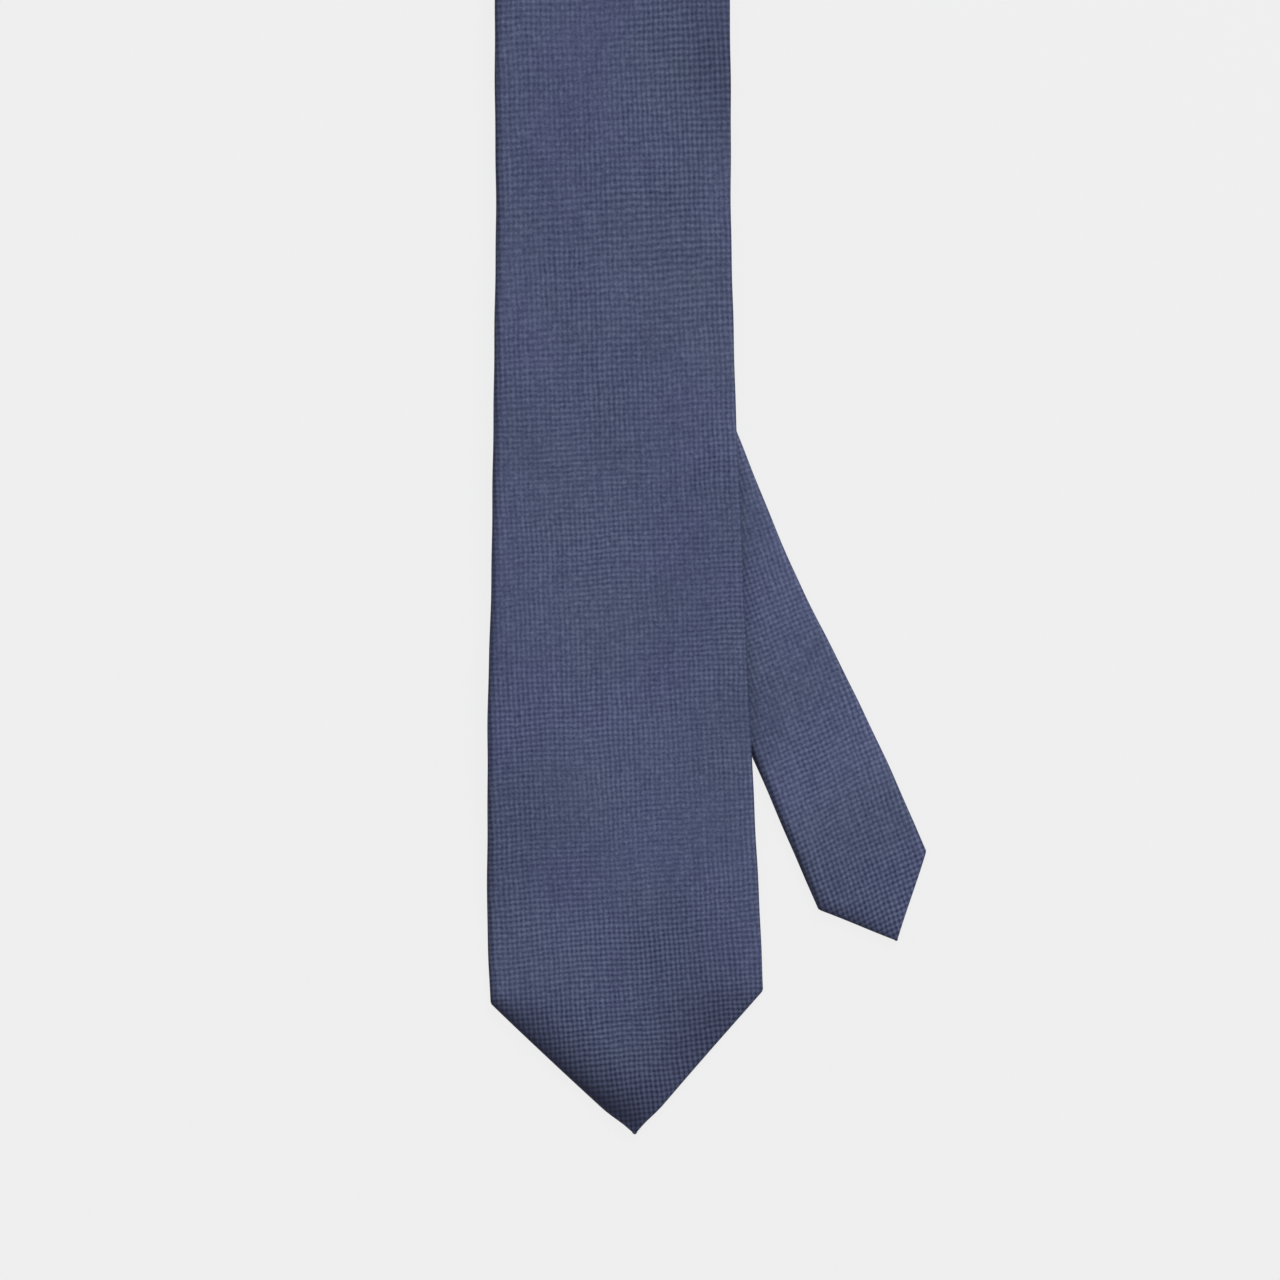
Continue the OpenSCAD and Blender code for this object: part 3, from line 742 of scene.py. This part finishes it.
def weave_relief(m, u, v, wave_u, wave_v):
    """Each cell's low dome, from 0 to 1, and the weave's height. The cells are warp and weft by
    turns, so their threads' plies run the one way and the other."""
    dome = m.math("MULTIPLY_ADD", m.math("ADD", wave_u, wave_v), 0.25, 0.5)
    parity = m.math("FLOORED_MODULO",
                    m.math("ADD", m.math("FLOOR", u), m.math("FLOOR", v)), 2.0)
    ply_u, ply_v = (m.math("COSINE", m.math("MULTIPLY", t, 8 * math.pi)) for t in (u, v))
    ply = m.math("ADD", m.math("MULTIPLY", ply_u, m.math("SUBTRACT", 1.0, parity)),
                 m.math("MULTIPLY", ply_v, parity))
    return dome, m.math("MULTIPLY", dome, m.math("MULTIPLY_ADD", ply, 0.06, 0.94))


def weave_tone(m, u, v, wave_u, wave_v, edge):
    """How light the cloth is at each place, from about 0 to 1: the weave's cells, which show more
    clearly in some places than in others, more near the tip and under the painted shade, then
    fine fibres, single cells, slubs and patches."""
    near_tip = m.math("POWER", 0.5, m.math("MULTIPLY", m.math("ABSOLUTE", v), 0.04))
    # The cells show more clearly near the tip and under the painted shade, so the weave still shows
    # through it
    clearer_cells = m.math("MULTIPLY_ADD", edge, 0.15, m.math("MULTIPLY", near_tip, 0.11))
    clear_u, clear_v = (m.math("ADD", clearer_cells, m.scale(m.noise(size, 3.0), low, high))
                        for size, low, high in ((42.0, -0.06, 0.27), (33.0, -0.05, 0.28)))
    streak = m.noise(1.0, 2.0, m.vector(m.math("MULTIPLY", u, 0.9), m.math("MULTIPLY", v, 0.05)))
    cell = m.node("TexWhiteNoise", {
        "Vector": m.vector(m.math("FLOOR", u), m.math("FLOOR", v))}).outputs["Value"]
    tone = m.math("ADD", m.math("MULTIPLY", wave_u, clear_u), m.math("MULTIPLY", wave_v, clear_v))
    for part, share in ((m.noise(620.0, 1.0), 0.12), (m.noise(1400.0, 2.0), 0.95), (cell, 0.12),
                        (streak, 0.25), (m.noise(26.0, 2.0), 0.3)):
        tone = m.math("MULTIPLY_ADD", m.math("SUBTRACT", part, 0.5), share, tone)
    return m.math("ADD", tone, 0.55)


def hopsack_silk():
    """Navy silk in a basket weave."""
    m = Material("hopsack_silk", Specular_IOR_Level=0.30, Sheen_Weight=0.06, Sheen_Roughness=0.45,
                 Sheen_Tint=color(0.55, 0.6, 0.85))
    u, v = wandering_cells(m)
    wave_u, wave_v = (m.math("COSINE", m.math("MULTIPLY_ADD", t, 2 * math.pi, math.pi))
                      for t in (u, v))
    dome, height = weave_relief(m, u, v, wave_u, wave_v)
    # The painted shading attribute: painted shade along the silk's edges and near the points, and
    # painted light in a few patches
    edge = m.node("Attribute", attribute_name="painted_shading").outputs["Fac"]
    ramp = m.node("ValToRGB", {"Fac": weave_tone(m, u, v, wave_u, wave_v, edge)})
    stops = ramp.color_ramp.elements
    stops[0].position, stops[0].color = 0.0, color(0.010, 0.015, 0.060)
    stops[1].position, stops[1].color = 1.0, color(0.103, 0.1235, 0.2155)
    stops.new(0.55).color = color(0.0525, 0.0652, 0.1315)
    tint = m.mix(m.scale(m.noise(30.0, 2.0), -0.6, 1.6), color(1.025, 0.985, 1.05),
                 color(0.975, 1.015, 0.95))
    tinted = m.mix(1.0, ramp.outputs[0], tint, "MULTIPLY")
    # Painted shade and light: the colour is scaled by the painted shading, less in blue so that the
    # shade stays navy
    painted_shade_factor = m.node("VectorMath", {0: edge, 1: (-0.93, -0.915, -0.80), 2: (1.0, 1.0, 1.0)},
                  operation="MULTIPLY_ADD").outputs[0]
    shaded = m.mix(1.0, tinted, painted_shade_factor, "MULTIPLY")
    return m.finish(shaded, m.math("MULTIPLY_ADD", dome, -0.12, 0.66), height, 0.00022, 0.5)


def satin_tipping():
    """Dark blue lining satin: a fine twill with a shine along its threads, a little puckered."""
    m = Material("satin_tipping", Specular_IOR_Level=0.7, Anisotropic=0.6, Sheen_Weight=0.25,
                 Sheen_Roughness=0.3, Sheen_Tint=color(0.5, 0.6, 1.0))
    u, v = m.cloth()
    twill = m.math("SINE", m.math("MULTIPLY", m.math("MULTIPLY_ADD", u, 0.35, v), 9.0))
    streak = m.noise(1.0, 3.0, m.vector(m.math("MULTIPLY", u, 0.5), m.math("MULTIPLY", v, 6.0)))
    pucker = m.noise(110.0, 2.0)
    shade = m.math("ADD", m.math("MULTIPLY", twill, 0.2), m.scale(streak, -0.3, 1.3))
    shade = m.math("MULTIPLY_ADD", pucker, 0.5, m.math("SUBTRACT", shade, 0.25))
    height = m.math("MULTIPLY_ADD", pucker, 4.0, shade)
    body = m.mix(shade, color(0.006, 0.010, 0.048), color(0.030, 0.050, 0.165))
    return m.finish(body, m.scale(streak, 0.22, 0.36), height, 0.0003, 0.8)


def wool_interlining():
    """Cream wool canvas: an open plain weave with a fuzz on it."""
    m = Material("wool_interlining", Specular_IOR_Level=0.2, Sheen_Weight=0.4)
    u, v = m.cloth()
    warp, weft = (m.math("ABSOLUTE", m.math("SINE", m.math("MULTIPLY", t, 3.2))) for t in (u, v))
    fuzz = m.noise(2200.0, 4.0, roughness=0.7)
    height = m.math("ADD", m.math("MULTIPLY", warp, weft), m.math("MULTIPLY", fuzz, 0.8))
    body = m.mix(m.scale(height, 0.0, 0.8), color(0.40, 0.36, 0.28), color(0.74, 0.70, 0.60))
    return m.finish(body, m.scale(fuzz, 0.8, 1.0), height, 0.00015, 0.6)


def sewing_thread():
    """Navy thread of two twisted plies."""
    m = Material("sewing_thread", Specular_IOR_Level=0.5, Sheen_Weight=0.2)
    u, v = m.cloth()
    turn = m.math("ADD", m.math("MULTIPLY", u, 4 * math.pi), m.math("MULTIPLY", v, 11.0))
    ply = m.math("ABSOLUTE", m.math("SINE", turn))
    body = m.mix(ply, color(0.035, 0.042, 0.095), color(0.15, 0.17, 0.29))
    return m.finish(body, m.scale(ply, 0.5, 0.38), ply, 0.00005, 0.6)


def woven_label():
    """A plain label with a woven border and nothing written on it."""
    m = Material("woven_label", Specular_IOR_Level=0.4, Sheen_Weight=0.15)
    u, v = m.cloth()
    warp, weft = (m.math("ABSOLUTE", m.math("SINE", m.math("MULTIPLY", t, 14.0))) for t in (u, v))
    weave = m.math("MULTIPLY", warp, weft)
    fibre = m.noise(1500.0, 3.0)
    band = m.math("COMPARE", m.math("ABSOLUTE", v), 5.1, 0.25)
    body = m.mix(m.math("MULTIPLY_ADD", fibre, 0.5, m.math("MULTIPLY", weave, 0.5)),
                 color(0.50, 0.49, 0.45), color(0.74, 0.73, 0.69))
    body = m.mix(m.math("MULTIPLY", band, 0.85), body, color(0.06, 0.07, 0.14))
    return m.finish(body, m.scale(fibre, 0.5, 0.7), weave, 0.00004, 0.5)


def floor_material():
    """The photograph's pale backdrop, which is bright of its own and takes only a soft shadow."""
    m = Material("floor", Specular_IOR_Level=0.0, Roughness=1.0)
    m.shader.inputs["Emission Color"].default_value = color(1, 1, 1)
    m.shader.inputs["Emission Strength"].default_value = 0.822
    paper = m.noise(700.0, 3.0)
    body = m.mix(m.scale(paper, 0.0, 1.0), color(0.039, 0.039, 0.039), color(0.041, 0.041, 0.041))
    m.put(body, m.shader.inputs["Base Color"])
    return m.material


HOPSACK = hopsack_silk()
SATIN = satin_tipping()
WOOL = wool_interlining()
THREAD = sewing_thread()
LABEL = woven_label()


# Rows of each stretch: places on the strip's middle, and the rows' slopes there. The slopes go
# evenly from level to 45 degrees at a join, and to a fold's own slope at the fold. The rows are
# closest at the tips, the points' shoulders, the joins and the folds.


def rows(places, *knots):
    """Places along a strip, with their slopes from (place, slope) knots."""
    return places, np.interp(places, *zip(*knots))


# The first spans from a tip, the gap that a panel leaves at its join, and the rows' distance round
# a fold
FROM_TIP = ((0.1, 1.3, 0.24), (1.3, 6, 0.6))
JOIN_GAP = 0.06
FOLD_STEP = 0.42

# Where the strips have gone round their folds, and where they meet, past the front fold
FRONT_RUN = BLADE_LENGTH + ARC / math.cos(FRONT_CROSS)
FRONT_SEAM = FRONT_RUN + SEAM_PAST_FOLD / math.cos(FRONT_CROSS)
REAR_RUN = TAIL_LENGTH + ARC / math.cos(REAR_CROSS)
REAR_SEAM = REAR_RUN + FRONT_FOLD[0] - REAR_FOLD[0] - SEAM_PAST_FOLD / math.cos(FRONT_CROSS)
REAR_SLOPE = -math.tan(REAR_CROSS)

BLADE_ROWS = rows(
    spread(*FROM_TIP, (6, 40, 1.7), (40, 44, 0.8), (44, 178, 2.4), (178, 192, 1.0),
           (192, BLADE_JOIN - 3, 2.6), (BLADE_JOIN - 3, BLADE_JOIN - JOIN_GAP, 0.5)),
    (BLADE_JOIN - 65, 0), (BLADE_JOIN, 1))
FRONT_ROWS = rows(
    spread((BLADE_JOIN + JOIN_GAP, BLADE_JOIN + 3, 0.5), (BLADE_JOIN + 3, BLADE_LENGTH, 2.2),
           (BLADE_LENGTH, FRONT_RUN, FOLD_STEP), (FRONT_RUN, FRONT_SEAM, 1.5)),
    (BLADE_JOIN, 1), (BLADE_LENGTH - 4, -1))
REAR_ROWS = rows(
    spread((TAIL_JOIN + JOIN_GAP, TAIL_JOIN + 3, 0.5), (TAIL_JOIN + 3, TAIL_LENGTH, 2.6),
           (TAIL_LENGTH, REAR_RUN, FOLD_STEP), (REAR_RUN, REAR_SEAM, 2.0)),
    (TAIL_JOIN, -1), (TAIL_JOIN + 60, 0), (TAIL_LENGTH - 50, 0), (TAIL_LENGTH - 2, REAR_SLOPE),
    (REAR_RUN, REAR_SLOPE), (REAR_SEAM, 1))
TAIL_ROWS = rows(
    spread((TAIL_SPLIT, TAIL_JOIN - 3, 2.8), (TAIL_JOIN - 3, TAIL_JOIN - JOIN_GAP, 0.5)),
    (TAIL_JOIN - 65, 0), (TAIL_JOIN, -1))
TAIL_END_ROWS = rows(
    spread(*FROM_TIP, (6, 17.6, 1.1), (17.6, 20.4, 0.7), (20.4, 42, 1.8), (42, 56, 1.0),
           (56, TAIL_SPLIT, 2.8)),
    (0, 0), (TAIL_SPLIT, 0))


def inner_rows(places_and_slopes, low, step):
    """Rows for a layer inside a panel: the same run, from a lowest place on, evenly spaced."""
    places, slopes = places_and_slopes
    even = np.arange(max(places[0], low), places[-1], step)
    if even[-1] < places[-1] - 0.2:
        even = np.append(even, places[-1])
    return even, np.interp(even, places, slopes)


# Silk, wool and satin


def at(strip, y):
    """A point on a strip's middle, in the frame's metres."""
    return tuple(strip["place"](np.array(0.0), np.array(y), np.array(0.0))[0] * MM)


# The two bodies that each moving stretch of the tie bends between, and where it starts and ends
BENDS = {
    "blade": ("blade", "blade_end", at(BLADE, BLADE_BEND), at(BLADE, BLADE_BEND - 10)),
    "front": ("neck", "blade", at(BLADE, BLADE_LENGTH + 5), at(BLADE, BLADE_LENGTH - 5)),
    "rear": ("tail", "neck", at(TAIL, TAIL_LENGTH - 5), at(TAIL, TAIL_LENGTH + 20)),
    "swing": ("tail", "tail_lower", at(TAIL, SWING_START), at(TAIL, SWING_END)),
    "tail": ("tail_lower", "tail_end", at(TAIL, TAIL_BEND), at(TAIL, TAIL_BEND - 10)),
}


def bending(made):
    """Bakes a layer's place into its mesh and gives the layer back. The shares of a fold's second
    body that come with it are not used."""
    layer, shares = made
    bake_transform(layer)
    return layer


for name, strip, (start, slope), bend, flat, below, nodes in (
        ("blade_silk", BLADE, BLADE_ROWS, "blade", (0.168, 0.665), "blade_interlining",
         ["blade_end_shell", "blade_bend_shell", "blade_shell"]),
        ("neck_silk_front", BLADE, FRONT_ROWS, "front", (0.082, 0.095), "front_fold_interlining",
         ["neck_front_shell", "front_fold_shell"]),
        ("neck_silk_rear", TAIL, REAR_ROWS, "rear", (0.082, 0.21), "neck_interlining",
         ["neck_shell", "rear_fold_shell", "neck_rear_shell"]),
        ("tail_silk", TAIL, TAIL_ROWS, "swing", (0.082, 0.385), "tail_interlining",
         ["tail_shell", "tail_swing_shell"]),
        ("tail_end_silk", TAIL, TAIL_END_ROWS, "tail", (0.082, 0.182), "tail_lower_interlining",
         ["tail_lower_shell", "tail_bend_shell", "tail_end_shell"])):
    piece = bending(silk_panel(name, strip, start, slope, HOPSACK))
    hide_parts(*nodes)

for name, strip, (start, slope), bend, flat, below, nodes in (
        ("blade_wool", BLADE, inner_rows(BLADE_ROWS, 5, 2.5), "blade", (0.076, 0.66),
         "blade_shell", ["blade_end_interlining", "blade_bend_interlining", "blade_interlining"]),
        ("neck_wool_front", BLADE, inner_rows(FRONT_ROWS, 0, 0.6), "front", (0.034, 0.095),
         "neck_front_shell", ["front_fold_interlining"]),
        ("neck_wool_rear", TAIL, inner_rows(REAR_ROWS, 0, 0.6), "rear", (0.034, 0.21),
         "neck_shell", ["rear_fold_interlining", "neck_interlining"]),
        ("tail_wool", TAIL, inner_rows(TAIL_ROWS, 0, 2.5), "swing", (0.034, 0.385),
         "tail_shell", ["tail_interlining", "tail_swing_interlining"]),
        ("tail_end_wool", TAIL, inner_rows(TAIL_END_ROWS, 5, 2.0), "tail", (0.034, 0.178),
         "tail_lower_shell",
         ["tail_lower_interlining", "tail_bend_interlining", "tail_end_interlining"])):
    piece = bending(
        slab(name, strip, start, slope, WOOL_INSET, WOOL_BOTTOM, WOOL_TOP, WOOL))
    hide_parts(*nodes)

for name, strip, low, high, body, node, flat, below in (
        ("blade_satin_tipping", BLADE, 3.2, 136.0, "blade_end", "blade_tipping", (0.076, 0.133),
         "blade_wool"),
        ("tail_satin_tipping", TAIL, 3.0, 43.5, "tail_end", "tail_tipping", (0.033, 0.041),
         "tail_end_wool")):
    start = spread((low, high, 1.4))
    piece, _ = slab(name, strip, start, np.zeros_like(start), SATIN_INSET, SATIN_BOTTOM, SATIN_TOP,
                    SATIN, ripple=0.035, steps=41)
    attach(piece, body)
    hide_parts(node)


# Sewing


# The radius of each kind of thread
FINE, PLAIN, TAIL_TACKING, TACKING = 0.11, 0.13, 0.15, 0.17


def sewn(name, paths, radius, body, node):
    """A piece of sewing that stands for a CAD node and moves with a body."""
    piece = threads(name, paths, radius, THREAD)
    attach(piece, body)
    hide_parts(node)


for name, paths, radius, body, node in (
        ("blade_hem_and_slip_stitches",
         hem_stitches(BLADE, 17, 112, pitch=3.2) + slip_stitches(BLADE, 156, BLADE_BEND - 13),
         PLAIN, "blade_end", "blade_end_stitches"),
        ("blade_slip_stitches", slip_stitches(BLADE, BLADE_BEND + 4, BLADE_JOIN - 8),
         PLAIN, "blade", "blade_stitches"),
        ("neck_slip_stitches", slip_stitches(TAIL, REAR_RUN + 6, REAR_SEAM - 6, pitch=6.0),
         PLAIN, "neck", "neck_stitches"),
        ("tail_slip_stitches", slip_stitches(TAIL, SWING_START + 5, TAIL_LENGTH - 20),
         PLAIN, "tail", "tail_stitches"),
        ("tail_lower_slip_stitches", slip_stitches(TAIL, TAIL_BEND + 8, SWING_END - 5),
         PLAIN, "tail_lower", "tail_lower_stitches"),
        ("front_join_seam_stitches", join_stitches(BLADE), FINE, "blade", "front_join_stitches"),
        ("rear_join_seam_stitches", join_stitches(TAIL), FINE, "tail", "rear_join_stitches"),
        ("blade_bar_tack_stitches", bar_tack(BLADE, BLADE_TACK, depth=-1.42),
         TACKING, "blade_end", "blade_bar_tack"),
        ("tail_bar_tack_stitches",
         bar_tack(TAIL, TAIL_TACK, depth=-1.12, width=1.4)
         + hem_stitches(TAIL, 11.5, 38, pitch=2.4),
         TAIL_TACKING, "tail_end", "tail_bar_tack")):
    sewn(name, paths, radius, body, node)


# Keeper loop and label, across the blade's back


def box_in_mm(node):
    """The middle of a CAD node's box, and half its size."""
    low, high = (np.array(corner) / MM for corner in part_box(node))
    return (low + high) / 2, (high - low) / 2


KEEPER_MIDDLE, KEEPER_HALF = box_in_mm("keeper_loop")
LABEL_MIDDLE, LABEL_HALF = box_in_mm("care_label")
KEEPER_SILK = 0.27
TACK_INSET, TACK_LENGTH, TACK_TURNS = 2.5, 8.6, 22
LABEL_FOLD = 3.0
LABEL_SEAM_INSET, LABEL_STITCH = 1.5, 3.6


def rounded(half, count):
    """Places from one edge to the other, closer together near the edges."""
    return half * np.sin(np.linspace(-math.pi / 2, math.pi / 2, count))


def keeper_loop():
    """A band whose two ends are raised against the blade's back, with a gap over its middle that
    a tail can go through. A seam runs along it, on the blade's side."""
    length, width, height = KEEPER_HALF
    x, y = np.meshgrid(np.linspace(-length, length, 61), rounded(width, 17), indexing="ij")
    y = y * (1 - 0.03 * np.cos(x / length * math.pi))
    lift = rise(np.abs(x), length - 10.5, length - 5)
    z = (2 * lift - 1) * (height - 0.3) + 0.05 * np.sin(x / 5) * (1 - lift)
    thick = (KEEPER_SILK * np.sqrt(np.clip(1 - (np.abs(y) / width / 1.01) ** 12, 0.05, 1))
             * np.sqrt(np.clip(1 - (np.abs(x) / length) ** 60, 0.1, 1)))
    top = KEEPER_MIDDLE + np.stack([x, y, z + thick - 0.1 * bump(y, 0.5)], -1)
    bottom = KEEPER_MIDDLE + np.stack([x, y, z - thick], -1)
    # The keeper's silk gets painted shade along its two long edges
    return shell("keeper_loop_silk", top, bottom, HOPSACK,
                 np.stack([x / CELL, y / CELL_LONG], -1), 0.4 * bump(width - np.abs(y), 0.7))


def keeper_tack(side):
    """Thread wound closely across one end of the keeper loop."""
    x = KEEPER_MIDDLE[0] + side * (KEEPER_HALF[0] - TACK_INSET)
    z = KEEPER_MIDDLE[2] - KEEPER_HALF[2] + 0.55
    turns = KEEPER_MIDDLE[1] + TACK_LENGTH * np.linspace(-0.5, 0.5, TACK_TURNS)
    return [[(x + 0.75 * t, y + 0.12 * t, z + 0.2 * t**4) for t in np.linspace(-1, 1, 9)]
            for y in turns]


def care_label():
    """A blank woven label with a folded hem along its two long edges."""
    x, y = np.meshgrid(np.linspace(-1, 1, 57) * LABEL_HALF[0], rounded(LABEL_HALF[1], 35),
                       indexing="ij")
    hem = rise(LABEL_HALF[1] - np.abs(y), LABEL_FOLD, LABEL_FOLD - 0.5)
    thick = (0.09 + 0.05 * hem) * np.sqrt(np.clip(1 - (np.abs(y) / LABEL_HALF[1]) ** 40, 0.1, 1))
    wavy = 0.03 * np.sin(x / 3.1) * np.sin(y / 2.7)
    top, bottom = (LABEL_MIDDLE + np.stack([x, y, wavy + side * thick], -1) for side in (1, -1))
    return shell("care_label_blank", top, bottom, LABEL, np.stack([x, y], -1))


def label_seam(side):
    """A row of stitches along one long edge of the label."""
    y = LABEL_MIDDLE[1] + side * (LABEL_HALF[1] - LABEL_SEAM_INSET)
    z = LABEL_MIDDLE[2] - LABEL_HALF[2] - 0.02
    return [[(LABEL_MIDDLE[0] + i * LABEL_STITCH + 1.1 * t, y + 0.05 * math.sin(i * 2),
              z + 0.2 * t**4) for t in np.linspace(-1, 1, 9)] for i in range(-3, 4)]


keeper = keeper_loop()
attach(keeper, "blade")
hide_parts("keeper_loop")
sewn("keeper_tack_stitches", keeper_tack(-1) + keeper_tack(1), TACKING, "blade", "keeper_tacks")

label = care_label()
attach(label, "blade")
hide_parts("care_label")
sewn("label_edge_stitches", label_seam(-1) + label_seam(1), PLAIN, "blade", "label_stitches")


# Floor, light and camera

corners = [(x * FLOOR_HALF, y * FLOOR_HALF, -FLOOR_DROP)
           for x, y in ((-1, -1), (1, -1), (1, 1), (-1, 1))]
floor = make_object("floor", corners, [(0, 1, 2, 3)], floor_material())
floor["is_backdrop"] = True

world = bpy.data.worlds.new("studio")
world.use_nodes = True
background = world.node_tree.nodes["Background"]
background.inputs["Color"].default_value = color(0.97, 0.98, 1.0)
background.inputs["Strength"].default_value = 0.75
bpy.context.scene.world = world
bpy.context.scene.view_settings.view_transform = "Standard"

# One large soft light, turned to the middle of the view
lamp = bpy.data.lights.new("key", "AREA")
lamp.shape = "DISK"
lamp.size = KEY_SIZE
lamp.energy = KEY_POWER
key = bpy.data.objects.new("key", lamp)
key.location = KEY_PLACE
aim = np.array(KEY_PLACE) - VIEW_MIDDLE
key.rotation_euler = (math.acos(aim[2] / np.linalg.norm(aim)), 0.0,
                      math.atan2(aim[1], aim[0]) + math.pi / 2)
bpy.context.scene.collection.objects.link(key)

# A camera that looks straight down. The frame's width is measured at the front of the blade's point.
camera = bpy.data.cameras.new("camera")
camera.sensor_width = SENSOR
camera.lens = SENSOR * (CAMERA_HEIGHT - THICK * MM) / FRAME_WIDTH
camera.clip_start, camera.clip_end = 0.05, 20.0
eye = bpy.data.objects.new("camera", camera)
eye.location = (VIEW_MIDDLE[0], VIEW_MIDDLE[1], CAMERA_HEIGHT)
bpy.context.scene.collection.objects.link(eye)
bpy.context.scene.camera = eye

low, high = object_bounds()
